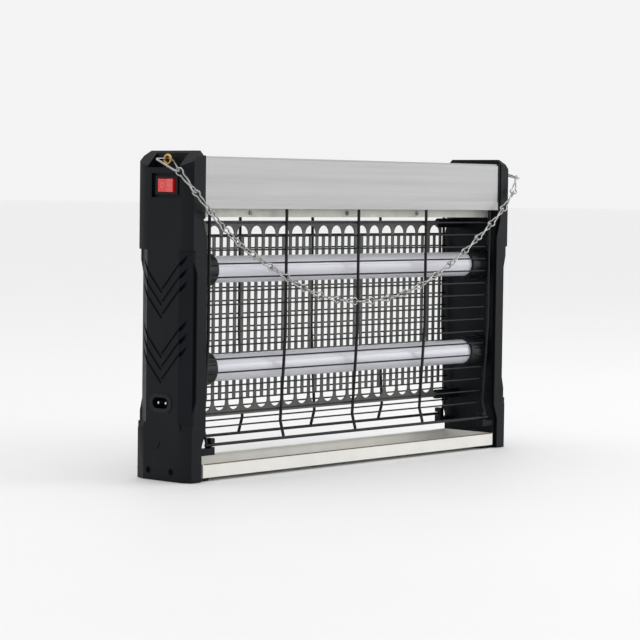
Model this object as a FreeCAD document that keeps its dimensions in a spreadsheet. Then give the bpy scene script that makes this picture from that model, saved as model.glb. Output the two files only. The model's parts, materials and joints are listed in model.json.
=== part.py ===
import FreeCAD, Part
import math
import os
import Sketcher

# Electric bug zapper: two moulded end caps carry an aluminium roof, two frosted tubes, a
# high-voltage comb grid, wire guards on both sides, a slide-out catch tray and a hanging chain.
# Millimetres. +X runs to the right-hand cap, the front faces -Y, +Z is up, and the origin lies
# under the middle of the unit on the surface that it stands on.

V = FreeCAD.Vector
LEFT, RIGHT = -1, 1
FRONT, REAR = -1, 1

DIMENSIONS = {
    # whole unit
    "overall_length": 490, "overall_depth": 72, "overall_height": 310,
    # end caps: sizes inward from the outer face are called depths
    "corner_depth": 4, "corner_width": 12, "face_depth": 17, "waist_depth": 22.5,
    "cap_wall": 2.5, "outer_wall": 5.7, "cap_floor": 3, "bevel_top": 14, "bevel_side": 5,
    "flank_low": 54, "flank_high": 217, "flank_slope": 22, "flank_cut": 3, "flank_depth": 9.5,
    "waist_low": 32, "waist_low_full": 46, "waist_high_full": 227, "waist_high": 245,
    "cavity_top": 289, "flange_reach": 33, "flange_width": 60,
    "slot_depth": 12, "slot_width": 42, "slot_floor": 294,
    "chevron_run": 26, "chevron_drop": 28, "chevron_bar": 4.4, "chevron_cut": 1.2,
    "chevron_pitch": 12, "chevron_axis": 2, "chevron_upper": 176, "chevron_lower": 115,
    "mark_z": 33, "mark_half": 4, "mark_cut": 0.6, "notch_near": 21, "notch_far": 31,
    "notch_cut": 4.2, "ledge_drop": 7,
    # inner plates
    "plate_outer": 20.5, "plate_waist": 24, "plate_width": 66, "plate_low": 3.2, "plate_top": 305.5,
    "ear_width": 70, "ear_low": 246.5, "wire_port_width": 26, "wire_port_low": 268,
    "wire_port_high": 286, "boss_r": 3.6, "boss_start": 7.4, "cap_screw_z": 9,
    # roof and the gear channel inside it
    "roof_low": 256, "roof_crease": 264, "roof_top": 305, "roof_width": 69.2, "roof_lip": 0.6,
    "roof_wall": 1.4, "roof_gap": 0.2, "port_out_r": 3, "port_in_r": 1.3, "port_y": 30.6,
    "port_z": 280, "channel_low": 248, "channel_high": 263, "channel_width": 44,
    "channel_wall": 1.2, "channel_seat": 2, "channel_screw_z": 252,
    # catch tray
    "tray_low": 3.2, "tray_high": 16, "tray_depth": 68, "tray_end_gap": 1.2, "tray_wall": 1,
    "tray_lip": 4,
    # wire guards
    "guard_y": 31, "guard_lean_y": 25.5, "guard_foot_y": 30.5, "guard_top": 259,
    "guard_pivot_z": 253.5, "guard_lean_top": 135, "guard_lean_low": 50, "guard_foot": 33.5,
    "upright_r": 1.5, "slat_r": 0.8, "upright_pitch": 107.5, "slat_low": 49.2, "slat_pitch": 12.9,
    "pivot_hole_r": 1.58, "guard_reach": 217, "pivot_reach": 227,
    # electrode combs
    "comb_y": 16, "comb_sheet": 1.2, "comb_half": 190, "leg_pitch": 20, "leg_width": 4,
    "upper_rail_top": 244, "upper_rail_low": 239, "upper_leg_end": 70, "lower_rail_low": 54,
    "lower_rail_top": 59.5, "lower_leg_end": 229, "arch_r": 8, "insulator_r": 5,
    "comb_hold": 6,
    # tubes and lamp holders
    "tube_y": -10, "upper_tube_z": 198, "lower_tube_z": 104, "glass_r": 12.9, "glass_half": 209.6,
    "glass_wall": 0.8, "tube_cap_r": 13, "tube_cap_half": 218.7, "tube_pin_r": 1.18,
    "tube_pin_half": 225.8, "tube_pin_gap": 12.7, "holder_front": 196, "holder_r": 16,
    "holder_bore_r": 13.3, "holder_floor": 219.2, "holder_flange_r": 17.5, "holder_neck_r": 10.5,
    "holder_back": 231, "holder_groove_r": 0.8,
    # rocker switch
    "switch_y": -1.6, "switch_z": 277.3, "panel_y": -3.5, "panel_cut": 3.2, "bezel_half": 14.6,
    "bezel_rise": 8, "switch_open_y": 12.4, "switch_open_z": 6.6, "switch_body_y": 13.3,
    "switch_body_z": 7.4, "switch_back": 16, "rocker_tilt": 7, "rocker_half": 11.2,
    "rocker_z": 6.2, "rocker_axis": 7.2, "trunnion_r": 1.5, "trunnion_hole_r": 1.56,
    # appliance inlet
    "inlet_y": 1.6, "inlet_z": 73, "inlet_half": 14.9, "inlet_rise": 8.8, "inlet_bore_half": 10.2,
    "inlet_bore_r": 5.2, "inlet_proud": 0.6, "inlet_deep": 9.4, "inlet_back": 13.5,
    "inlet_pin_gap": 9.6, "inlet_pin_r": 1.18,
    # hanging eyes and chain
    "eye_x": 240, "eye_z": 301.5, "eye_mid_r": 4.2, "eye_wire_r": 1.2, "swing_z": 302,
    "hook_wire_r": 0.9, "hook_outer": 256, "hook_bend": 3.3, "link_wire_r": 0.9, "link_end_r": 3.1,
    "link_overlap": 2.4, "link_target": 26,
}

doc = FreeCAD.newDocument("bug_zapper")
sheet = doc.addObject("Spreadsheet::Sheet", "Dim")
for row, (alias, number) in enumerate(DIMENSIONS.items(), start=1):
    sheet.set(f"A{row}", alias)
    sheet.set(f"B{row}", str(number))
    sheet.setAlias(f"B{row}", alias)
doc.recompute()

pieces = []


# ---------------------------------------------------------------- helpers

def value(expression):
    """The number that a sheet expression gives."""
    return float(sheet.evalExpression(str(expression)))


def depth_x(side, depth):
    """X of a plane that lies 'depth' inward from the outer face of one end cap."""
    return f"({side}) * (Dim.overall_length / 2 - ({depth}))"


def keep(label, shape_object):
    """Marks an object of the document as a finished sub-part."""
    shape_object.Label = label
    pieces.append(shape_object)
    return shape_object


def new_body(name):
    return doc.addObject("PartDesign::Body", name)


def sketch_on(body, role, offset="0"):
    """An empty sketch on one of the body's origin planes, moved along the plane's normal."""
    sketch = body.newObject("Sketcher::SketchObject", f"{body.Name}_sketch")
    plane = [item for item in body.Origin.OriginFeatures if item.Role == role][0]
    sketch.AttachmentSupport = [(plane, "")]
    sketch.MapMode = "FlatFace"
    sketch.setExpression("AttachmentOffset.Base.z", str(offset))
    return sketch


def add_polygon(sketch, corners):
    """A closed outline whose every corner is bound to a pair of sheet expressions."""
    first = sketch.GeometryCount
    count = len(corners)
    spots = [V(value(across), value(up), 0) for across, up in corners]
    for number in range(count):
        sketch.addGeometry(Part.LineSegment(spots[number], spots[(number + 1) % count]), False)
    for number in range(count):
        follower = first + (number + 1) % count
        sketch.addConstraint(Sketcher.Constraint("Coincident", first + number, 2, follower, 1))
    for number, (across, up) in enumerate(corners):
        for kind, expression in (("DistanceX", across), ("DistanceY", up)):
            datum = Sketcher.Constraint(kind, -1, 1, first + number, 1, value(expression))
            index = sketch.addConstraint(datum)
            sketch.setExpression(f"Constraints[{index}]", str(expression))


def add_circle(sketch, across, up, radius):
    """A circle whose centre and radius are bound to sheet expressions."""
    centre = V(value(across), value(up), 0)
    circle = Part.Circle(centre, V(0, 0, 1), value(radius))
    item = sketch.addGeometry(circle, False)
    limits = (("DistanceX", across), ("DistanceY", up))
    for kind, expression in limits:
        index = sketch.addConstraint(Sketcher.Constraint(kind, -1, 1, item, 3, value(expression)))
        sketch.setExpression(f"Constraints[{index}]", str(expression))
    index = sketch.addConstraint(Sketcher.Constraint("Radius", item, value(radius)))
    sketch.setExpression(f"Constraints[{index}]", str(radius))


def rectangle(low, high):
    """Corners of a rectangle from its lowest and highest corner."""
    return [(low[0], low[1]), (high[0], low[1]), (high[0], high[1]), (low[0], high[1])]


def pad(body, sketch, length, midplane=False, backwards=False):
    feature = body.newObject("PartDesign::Pad", f"{body.Name}_pad")
    feature.Profile = sketch
    feature.Midplane = midplane
    feature.Reversed = backwards
    feature.setExpression("Length", str(length))
    doc.recompute()
    return feature


def pocket(body, sketch, length=None, midplane=False, backwards=False):
    """Cuts a sketch out of the body, and stops the build if nothing was cut."""
    before = body.Shape.Volume
    feature = body.newObject("PartDesign::Pocket", f"{body.Name}_pocket")
    feature.Profile = sketch
    feature.Midplane = midplane
    feature.Reversed = backwards
    if length is None:
        feature.Type = "ThroughAll"
    else:
        feature.setExpression("Length", str(length))
    doc.recompute()
    if body.Shape.Volume > before - 0.01:
        raise RuntimeError(f"{feature.Name} of {body.Label} cuts nothing")
    return feature


def block(name, low, high):
    """A box between two corners, each given as three sheet expressions."""
    box = doc.addObject("Part::Box", name)
    for size, axis, start, end in zip(("Length", "Width", "Height"), "xyz", low, high):
        box.setExpression(size, f"({end}) - ({start})")
        box.setExpression(f"Placement.Base.{axis}", str(start))
    return box


TURNS = {
    "x": FreeCAD.Rotation(V(0, 1, 0), 90),
    "y": FreeCAD.Rotation(V(1, 0, 0), -90),
    "z": FreeCAD.Rotation(),
}


def rod(name, axis, start, radius, length):
    """A cylinder from 'start' along +axis; every size is a sheet expression."""
    cylinder = doc.addObject("Part::Cylinder", name)
    cylinder.Placement.Rotation = TURNS[axis]
    cylinder.setExpression("Radius", str(radius))
    cylinder.setExpression("Height", str(length))
    for letter, expression in zip("xyz", start):
        cylinder.setExpression(f"Placement.Base.{letter}", str(expression))
    return cylinder


def fuse(name, parts):
    joined = doc.addObject("Part::MultiFuse", name)
    joined.Shapes = parts
    return joined


def cut(name, base, tools):
    """The base less every tool."""
    result = doc.addObject("Part::Cut", name)
    result.Base = base
    result.Tool = tools[0] if len(tools) == 1 else fuse(f"{name}_tools", tools)
    return result


def group(name, parts):
    """Several separate solids that make up one sub-part."""
    compound = doc.addObject("Part::Compound", name)
    compound.Links = parts
    return compound


def set_shape(name, shape):
    """A plain feature for a form that neither a sketch nor a primitive describes."""
    feature = doc.addObject("Part::Feature", name)
    feature.Shape = shape
    return feature


def rounded_path(points, bend):
    """Straight runs through the points, joined by tangent arcs of one bend radius."""
    edges = []
    start = points[0]
    for before, corner, after in zip(points, points[1:], points[2:]):
        inward = (before - corner).normalize()
        outward = (after - corner).normalize()
        half_angle = inward.getAngle(outward) / 2
        reach = bend / math.tan(half_angle)
        arc_start = corner + inward * reach
        arc_end = corner + outward * reach
        centre_way = (inward + outward).normalize()
        arc_middle = corner + centre_way * (bend / math.sin(half_angle) - bend)
        edges.append(Part.LineSegment(start, arc_start).toShape())
        edges.append(Part.Arc(arc_start, arc_middle, arc_end).toShape())
        start = arc_end
    edges.append(Part.LineSegment(start, points[-1]).toShape())
    return Part.Wire(edges)


def wire_form(points, radius, bend):
    """A round wire bent along the points."""
    path = rounded_path(points, bend)
    first = path.Edges[0]
    heading = first.tangentAt(first.FirstParameter)
    ring = Part.Wire(Part.Circle(points[0], heading, radius).toShape())
    return path.makePipeShell([ring], True, False)


# ---------------------------------------------------------------- features along X

def slab(body, side, start, end, corners=None, circles=()):
    """Adds material between two depths of one end of the unit; the outline lies in YZ."""
    sketch = sketch_on(body, "YZ_Plane", depth_x(side, start if side == LEFT else end))
    if corners:
        add_polygon(sketch, corners)
    for circle in circles:
        add_circle(sketch, *circle)
    pad(body, sketch, f"({end}) - ({start})")


def sink(body, side, start, end, corners=None, circles=()):
    """Cuts material between two depths of one end of the unit; the outline lies in YZ."""
    sketch = sketch_on(body, "YZ_Plane", depth_x(side, end if side == LEFT else start))
    if corners:
        add_polygon(sketch, corners)
    for circle in circles:
        add_circle(sketch, *circle)
    pocket(body, sketch, f"({end}) - ({start})")


# ---------------------------------------------------------------- end caps

HALF_LENGTH = "Dim.overall_length / 2"
HALF_DEPTH = "Dim.overall_depth / 2"
FLAT_HALF = f"({HALF_DEPTH} - Dim.corner_width)"
CAP_SCREW_YS = (17, -13)


def end_cap(side, label):
    """A moulded shell, open towards the middle of the unit, with a waisted front view."""
    body = new_body(label)
    outline = sketch_on(body, "XY_Plane")
    add_polygon(outline, [
        (depth_x(side, 0), f"-{FLAT_HALF}"),
        (depth_x(side, "Dim.corner_depth"), f"-{HALF_DEPTH}"),
        (depth_x(side, "Dim.face_depth"), f"-{HALF_DEPTH}"),
        (depth_x(side, "Dim.face_depth"), HALF_DEPTH),
        (depth_x(side, "Dim.corner_depth"), HALF_DEPTH),
        (depth_x(side, 0), FLAT_HALF),
    ])
    pad(body, outline, "Dim.overall_height")
    cap_cavity(body, side)
    for face in (FRONT, REAR):
        cap_waist(body, side, face)
        cap_flank(body, side, face)
        corner_ledge(body, side, face)
        side_bevel(body, face)
    top_bevel(body, side)
    eye_slot(body, side)
    flange = sketch_on(body, "XY_Plane")
    add_polygon(flange, rectangle(
        (depth_x(side, "Dim.face_depth"), "-Dim.flange_width / 2"),
        (depth_x(side, "Dim.flange_reach"), "Dim.flange_width / 2")))
    pad(body, flange, "Dim.cap_floor")
    chevrons(body, side)
    corner_notches(body, side)
    screw_spots = [(spot, "Dim.cap_screw_z") for spot in CAP_SCREW_YS]
    sink(body, side, 0, 3.4, circles=[(*spot, "3.2") for spot in screw_spots])
    sink(body, side, 3.4, 6.5, circles=[(*spot, "1.7") for spot in screw_spots])
    return body


def cap_cavity(body, side):
    cavity = sketch_on(body, "XY_Plane", "Dim.cavity_top")
    inner_width = "(Dim.plate_width / 2 + 0.3)"
    add_polygon(cavity, [
        (depth_x(side, "Dim.outer_wall"), "-18"),
        (depth_x(side, "Dim.flank_depth"), "-29"),
        (depth_x(side, "Dim.flank_depth + 1.5"), f"-{inner_width}"),
        (depth_x(side, "Dim.face_depth + 1"), f"-{inner_width}"),
        (depth_x(side, "Dim.face_depth + 1"), inner_width),
        (depth_x(side, "Dim.flank_depth + 1.5"), inner_width),
        (depth_x(side, "Dim.flank_depth"), "29"),
        (depth_x(side, "Dim.outer_wall"), "18"),
    ])
    pocket(body, cavity, "Dim.cavity_top - Dim.cap_floor")


def cap_waist(body, side, face):
    """The front or rear wall reaches further inward between two ramps."""
    waist = sketch_on(body, "XZ_Plane", f"{-face} * {HALF_DEPTH}")
    add_polygon(waist, [
        (depth_x(side, "Dim.face_depth"), "Dim.waist_low"),
        (depth_x(side, "Dim.waist_depth"), "Dim.waist_low_full"),
        (depth_x(side, "Dim.waist_depth"), "Dim.waist_high_full"),
        (depth_x(side, "Dim.face_depth"), "Dim.waist_high"),
    ])
    pad(body, waist, "Dim.cap_wall", backwards=face == FRONT)


def cap_flank(body, side, face):
    """A long shallow recess that takes in the vertical corner."""
    flank = sketch_on(body, "XZ_Plane", f"{-face} * {HALF_DEPTH}")
    add_polygon(flank, [
        (depth_x(side, -1), "Dim.flank_low"),
        (depth_x(side, "Dim.corner_depth"), "Dim.flank_low"),
        (depth_x(side, "Dim.flank_depth"), "Dim.flank_low + Dim.flank_slope"),
        (depth_x(side, "Dim.flank_depth"), "Dim.flank_high - Dim.flank_slope"),
        (depth_x(side, "Dim.corner_depth"), "Dim.flank_high"),
        (depth_x(side, -1), "Dim.flank_high"),
    ])
    pocket(body, flank, "Dim.flank_cut", backwards=face == REAR)
    corner = sketch_on(body, "XY_Plane", "Dim.flank_high")
    turn_depth = "Dim.corner_depth + 2.5"
    add_polygon(corner, [
        (depth_x(side, -1), f"({face}) * ({FLAT_HALF} - Dim.flank_cut)"),
        (depth_x(side, 0), f"({face}) * ({FLAT_HALF} - Dim.flank_cut)"),
        (depth_x(side, turn_depth), f"({face}) * ({HALF_DEPTH} - Dim.flank_cut)"),
        (depth_x(side, turn_depth), f"({face}) * ({HALF_DEPTH} + 1)"),
        (depth_x(side, -1), f"({face}) * ({HALF_DEPTH} + 1)"),
    ])
    pocket(body, corner, "Dim.flank_high - Dim.flank_low")


def corner_ledge(body, side, face):
    """Slopes the lower end of the corner recess outward; the sketch stands square to the corner."""
    width, depth = value("Dim.corner_width"), value("Dim.corner_depth")
    turn = side * face * math.atan2(depth, width)
    corner = (f"(({HALF_LENGTH}) * Dim.corner_width + {FLAT_HALF} * Dim.corner_depth)"
              " / sqrt(Dim.corner_width ^ 2 + Dim.corner_depth ^ 2)")
    middle = face * ((value(FLAT_HALF) + width / 2) * math.cos(turn)
                     - (value(HALF_LENGTH) - depth / 2) * abs(math.sin(turn)))
    outward = -middle * math.cos(turn)
    ledge = sketch_on(body, "XZ_Plane", outward)
    ledge.AttachmentOffset = FreeCAD.Placement(
        V(-middle * math.sin(turn), 0, outward), FreeCAD.Rotation(V(0, 1, 0), math.degrees(turn)))
    add_polygon(ledge, [
        (f"({side}) * ({corner} + 1)", "Dim.flank_low - Dim.ledge_drop * 1.5"),
        (f"({side}) * ({corner} - 2)", "Dim.flank_low"),
        (f"({side}) * ({corner} + 1)", "Dim.flank_low")])
    pocket(body, ledge, "Dim.corner_width + 1", midplane=True)


def side_bevel(body, face):
    bevel = sketch_on(body, "YZ_Plane")
    add_polygon(bevel, [
        (f"({face}) * ({HALF_DEPTH} + 1)", "Dim.overall_height - Dim.bevel_side - 1"),
        (f"({face}) * ({HALF_DEPTH} - Dim.bevel_side - 1)", "Dim.overall_height + 1"),
        (f"({face}) * ({HALF_DEPTH} + 1)", "Dim.overall_height + 1"),
    ])
    pocket(body, bevel, "Dim.overall_length + 2", midplane=True)


def top_bevel(body, side):
    bevel = sketch_on(body, "XZ_Plane")
    add_polygon(bevel, [
        (depth_x(side, -1), "Dim.overall_height - Dim.bevel_top - 1"),
        (depth_x(side, "Dim.bevel_top + 1"), "Dim.overall_height + 1"),
        (depth_x(side, -1), "Dim.overall_height + 1"),
    ])
    pocket(body, bevel, "Dim.overall_depth + 2", midplane=True)


def eye_slot(body, side):
    """The notch in the bevel where the hanging eye stands, and the eye's screw hole."""
    slot = sketch_on(body, "XY_Plane", "Dim.overall_height + 1")
    add_polygon(slot, rectangle(
        (depth_x(side, -1), "-Dim.slot_width / 2"),
        (depth_x(side, "Dim.slot_depth"), "Dim.slot_width / 2")))
    pocket(body, slot, "Dim.overall_height + 1 - Dim.slot_floor")
    hole = sketch_on(body, "XY_Plane", "Dim.slot_floor")
    add_circle(hole, f"({side}) * Dim.eye_x", "0", "Dim.eye_wire_r + 0.05")
    pocket(body, hole, "4.5")


def chevrons(body, side):
    """Two groups of three V-shaped grooves in the outer face, and a small triangle below."""
    left_end = "Dim.chevron_axis + Dim.chevron_run"
    right_end = "Dim.chevron_axis - Dim.chevron_run"
    for vertex in ("Dim.chevron_upper", "Dim.chevron_lower"):
        for number in range(3):
            low = f"{vertex} - {number} * Dim.chevron_pitch"
            sink(body, side, 0, "Dim.chevron_cut", corners=[
                ("Dim.chevron_axis", low),
                (left_end, f"{low} + Dim.chevron_drop"),
                (left_end, f"{low} + Dim.chevron_drop + Dim.chevron_bar"),
                ("Dim.chevron_axis", f"{low} + Dim.chevron_bar"),
                (right_end, f"{low} + Dim.chevron_drop + Dim.chevron_bar"),
                (right_end, f"{low} + Dim.chevron_drop"),
            ])
    sink(body, side, 0, "Dim.mark_cut", corners=[
        ("Dim.chevron_axis - Dim.mark_half", "Dim.mark_z - 3"),
        ("Dim.chevron_axis + Dim.mark_half", "Dim.mark_z - 3"),
        ("Dim.chevron_axis", "Dim.mark_z + 4")])


def corner_notches(body, side):
    """The chevron grooves run on across the recessed corners as deeper notches."""
    depth = "Dim.notch_cut"
    notches = sketch_on(body, "YZ_Plane", depth_x(side, depth if side == LEFT else 0))
    slope = "Dim.chevron_drop / Dim.chevron_run"
    for face in (FRONT, REAR):
        near, far = (f"({face}) * {across}" for across in ("Dim.notch_near", "Dim.notch_far"))
        for vertex in ("Dim.chevron_upper", "Dim.chevron_lower"):
            for number in range(3):
                low = f"{vertex} - {number} * Dim.chevron_pitch"
                near_z = f"{low} + {slope} * ({face}) * ({near} - Dim.chevron_axis)"
                far_z = f"{low} + {slope} * ({face}) * ({far} - Dim.chevron_axis)"
                add_polygon(notches, [(near, near_z), (far, far_z),
                                      (far, f"{far_z} + Dim.chevron_bar"),
                                      (near, f"{near_z} + Dim.chevron_bar")])
    pocket(body, notches, depth)


def around(centre_y, centre_z, half_y, half_z):
    """A rectangle in YZ from its centre and half sizes."""
    return rectangle((f"{centre_y} - ({half_y})", f"{centre_z} - ({half_z})"),
                     (f"{centre_y} + ({half_y})", f"{centre_z} + ({half_z})"))


def left_cap_openings(body):
    """The sunken switch panel and the cut-outs for the rocker switch and the inlet."""
    switch = ("Dim.switch_y", "Dim.switch_z")
    inlet = ("Dim.inlet_y", "Dim.inlet_z")
    sink(body, LEFT, 0, "Dim.panel_cut", corners=around("Dim.panel_y", "Dim.switch_z", 19.5, 11.3))
    sink(body, LEFT, "Dim.panel_cut", "Dim.outer_wall + 0.5",
         corners=around(*switch, "Dim.switch_body_y + 0.2", "Dim.switch_body_z + 0.2"))
    sink(body, LEFT, 0, "Dim.outer_wall + 0.5", corners=around(*inlet, 12.4, 7.2))


def build_end_caps():
    left = end_cap(LEFT, "left_end_cap")
    left_cap_openings(left)
    keep("left_end_cap", left)
    keep("right_end_cap", end_cap(RIGHT, "right_end_cap"))


# ---------------------------------------------------------------- inner plates

COMB_SPOTS = {"upper": "(Dim.upper_rail_top + Dim.upper_rail_low) / 2",
              "lower": "(Dim.lower_rail_top + Dim.lower_rail_low) / 2"}
TUBE_SPOTS = {"upper": "Dim.upper_tube_z", "lower": "Dim.lower_tube_z"}


def inner_plate(side, label):
    """Closes one end cap and carries the lamp holders, combs, roof, channel and guards."""
    body = new_body(label)
    half_width = "Dim.plate_width / 2"
    slab(body, side, "Dim.face_depth", "Dim.plate_outer", rectangle(
        (f"-{half_width}", "Dim.plate_low"), (half_width, "Dim.plate_top")))
    for face in (FRONT, REAR):
        slab(body, side, "Dim.face_depth", "Dim.plate_outer", rectangle(
            (f"({face}) * {half_width}", "Dim.ear_low"),
            (f"({face}) * Dim.ear_width / 2", "Dim.plate_top")))
    waist = sketch_on(body, "XZ_Plane")
    add_polygon(waist, [
        (depth_x(side, "Dim.plate_outer"), "Dim.waist_low"),
        (depth_x(side, "Dim.plate_waist"), "Dim.waist_low_full"),
        (depth_x(side, "Dim.plate_waist"), "Dim.waist_high_full"),
        (depth_x(side, "Dim.plate_outer"), "Dim.waist_high"),
    ])
    pad(body, waist, "Dim.plate_width", midplane=True)
    boss_spots = [(spot, "Dim.cap_screw_z") for spot in CAP_SCREW_YS]
    slab(body, side, "Dim.boss_start", "Dim.face_depth",
         circles=[(*spot, "Dim.boss_r") for spot in boss_spots])
    sink(body, side, "Dim.boss_start", "Dim.face_depth",
         circles=[(*spot, "1.25") for spot in boss_spots])

    through = ("Dim.face_depth", "Dim.plate_waist")
    sink(body, side, *through, circles=[
        ("Dim.tube_y", spot, "Dim.holder_neck_r + 0.3") for spot in TUBE_SPOTS.values()])
    sink(body, side, *through, circles=[
        ("Dim.comb_y", spot, "Dim.insulator_r / 2 + 0.1") for spot in COMB_SPOTS.values()])
    sink(body, side, *through, circles=[
        ("-Dim.guard_y", "Dim.guard_top", "Dim.pivot_hole_r"),
        ("Dim.guard_y", "Dim.guard_pivot_z", "Dim.pivot_hole_r"),
        ("-Dim.port_y", "Dim.port_z", "1.7"),
        ("Dim.port_y", "Dim.port_z", "1.7")])
    sink(body, side, *through, corners=rectangle(
        ("-Dim.wire_port_width / 2", "Dim.wire_port_low"),
        ("Dim.wire_port_width / 2", "Dim.wire_port_high")))
    sink(body, side, "Dim.plate_outer - Dim.channel_seat", "Dim.plate_outer", corners=rectangle(
        ("-Dim.channel_width / 2 - 0.3", "Dim.channel_low - 0.3"),
        ("Dim.channel_width / 2 + 0.3", "Dim.channel_high + 0.3")))
    return keep(label, body)


# ---------------------------------------------------------------- roof and gear channel

def roof_outline(inset):
    """The roof's stepped section in YZ, shrunk by 'inset'; the open side faces down."""
    wide = f"(Dim.roof_width / 2 + Dim.roof_lip - {inset})"
    narrow = f"(Dim.roof_width / 2 - {inset})"
    top = f"Dim.roof_top - {inset}"
    right = [(wide, "Dim.roof_low"), (wide, "Dim.roof_crease"), (narrow, "Dim.roof_crease + 1"),
             (narrow, f"{top} - 2"), (f"{narrow} - 2", top)]
    left = [(f"-({across})", up) for across, up in reversed(right)]
    return right, left


def build_roof():
    body = new_body("roof_profile")
    half_span = "Dim.overall_length / 2 - Dim.plate_outer - Dim.roof_gap"
    outer_right, outer_left = roof_outline("0")
    inner_right, inner_left = roof_outline("Dim.roof_wall")
    section = sketch_on(body, "YZ_Plane")
    add_polygon(section, outer_right + outer_left + inner_left[::-1] + inner_right[::-1])
    pad(body, section, f"2 * ({half_span})", midplane=True)
    ports = sketch_on(body, "YZ_Plane")
    for face in (FRONT, REAR):
        add_circle(ports, f"({face}) * Dim.port_y", "Dim.port_z", "Dim.port_out_r")
    pad(body, ports, f"2 * ({half_span})", midplane=True)
    bores = sketch_on(body, "YZ_Plane")
    for face in (FRONT, REAR):
        add_circle(bores, f"({face}) * Dim.port_y", "Dim.port_z", "Dim.port_in_r")
    pocket(body, bores, f"2 * ({half_span}) + 2", midplane=True)
    keep("roof_profile", body)


CHANNEL_SCREW_XS = (-150, -8, 103)


def build_gear_channel():
    """The open-topped channel under the roof that carries the electrical gear."""
    body = new_body("gear_channel")
    half = "Dim.channel_width / 2"
    wall = "Dim.channel_wall"
    section = sketch_on(body, "YZ_Plane")
    add_polygon(section, [
        (f"-{half}", "Dim.channel_low"), (half, "Dim.channel_low"), (half, "Dim.channel_high"),
        (f"{half} - {wall}", "Dim.channel_high"),
        (f"{half} - {wall}", f"Dim.channel_low + {wall}"),
        (f"-{half} + {wall}", f"Dim.channel_low + {wall}"),
        (f"-{half} + {wall}", "Dim.channel_high"), (f"-{half}", "Dim.channel_high"),
    ])
    half_span = "(Dim.overall_length / 2 - Dim.plate_outer + Dim.channel_seat - 0.3)"
    pad(body, section, f"2 * {half_span}", midplane=True)
    holes = sketch_on(body, "XZ_Plane", half)
    for across in CHANNEL_SCREW_XS:
        add_circle(holes, across, "Dim.channel_screw_z", "1.25")
    pocket(body, holes, f"{wall} + 0.5")
    keep("gear_channel", body)


# ---------------------------------------------------------------- catch tray

def build_tray():
    body = new_body("catch_tray")
    half_x = "(Dim.overall_length / 2 - Dim.plate_outer - Dim.tray_end_gap)"
    half_y = "Dim.tray_depth / 2"
    base = sketch_on(body, "XY_Plane", "Dim.tray_low")
    add_polygon(base, rectangle((f"-{half_x}", f"-{half_y}"), (half_x, half_y)))
    pad(body, base, "Dim.tray_high - Dim.tray_low")
    hollow = sketch_on(body, "XY_Plane", "Dim.tray_high")
    inner_x = f"({half_x} - Dim.tray_wall)"
    inner_y = f"({half_y} - Dim.tray_wall)"
    add_polygon(hollow, rectangle((f"-{inner_x}", f"-{inner_y}"), (inner_x, inner_y)))
    pocket(body, hollow, "Dim.tray_high - Dim.tray_low - Dim.tray_wall")
    for face in (FRONT, REAR):
        lip = sketch_on(body, "XY_Plane", "Dim.tray_high - Dim.tray_wall")
        add_polygon(lip, rectangle(
            (f"-{inner_x} - 0.5", f"({face}) * ({inner_y} + 0.5)"),
            (f"{inner_x} + 0.5", f"({face}) * ({half_y} - Dim.tray_lip)")))
        pad(body, lip, "Dim.tray_wall")
    keep("catch_tray", body)


# ---------------------------------------------------------------- wire guards

def guard_line_y(height):
    """Distance of the guard's uprights from the middle plane at one height."""
    straight, lean = value("Dim.guard_y"), value("Dim.guard_lean_y")
    high, low = value("Dim.guard_lean_top"), value("Dim.guard_lean_low")
    if height >= high:
        return straight
    share = max(0, min(1, (high - height) / (high - low)))
    return straight + (lean - straight) * share


def guard(face, label, top_z):
    """A welded wire guard: five bent uprights, thin slats behind them, two long frame wires."""
    upright_r = value("Dim.upright_r")
    weld = 0.05
    parts = []
    for number in range(-2, 3):
        upright_x = number * value("Dim.upright_pitch")
        line = [(value("Dim.guard_y"), value(top_z) - upright_r - weld),
                (value("Dim.guard_y"), value("Dim.guard_lean_top")),
                (value("Dim.guard_lean_y"), value("Dim.guard_lean_low")),
                (value("Dim.guard_foot_y") - 0.45, value("Dim.guard_foot") + upright_r + weld)]
        points = [V(upright_x, face * across, up) for across, up in line]
        parts.append(set_shape(f"{label}_upright", wire_form(points, upright_r, 6)))
    number = 0
    while value("Dim.slat_low") + number * value("Dim.slat_pitch") < value(top_z) - 4:
        slat_z = f"(Dim.slat_low + {number} * Dim.slat_pitch)"
        offset = guard_line_y(value(slat_z)) - upright_r - value("Dim.slat_r") - weld
        parts.append(rod(f"{label}_slat", "x", ("-Dim.guard_reach", face * offset, slat_z),
                         "Dim.slat_r", "2 * Dim.guard_reach"))
        number += 1
    parts.append(rod(f"{label}_foot_wire", "x",
                     ("-Dim.guard_reach", f"({face}) * Dim.guard_foot_y", "Dim.guard_foot"),
                     "Dim.upright_r", "2 * Dim.guard_reach"))
    parts.append(rod(f"{label}_top_wire", "x",
                     ("-Dim.pivot_reach", f"({face}) * Dim.guard_y", top_z),
                     "Dim.upright_r", "2 * Dim.pivot_reach"))
    keep(label, group(label, parts))


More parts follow.
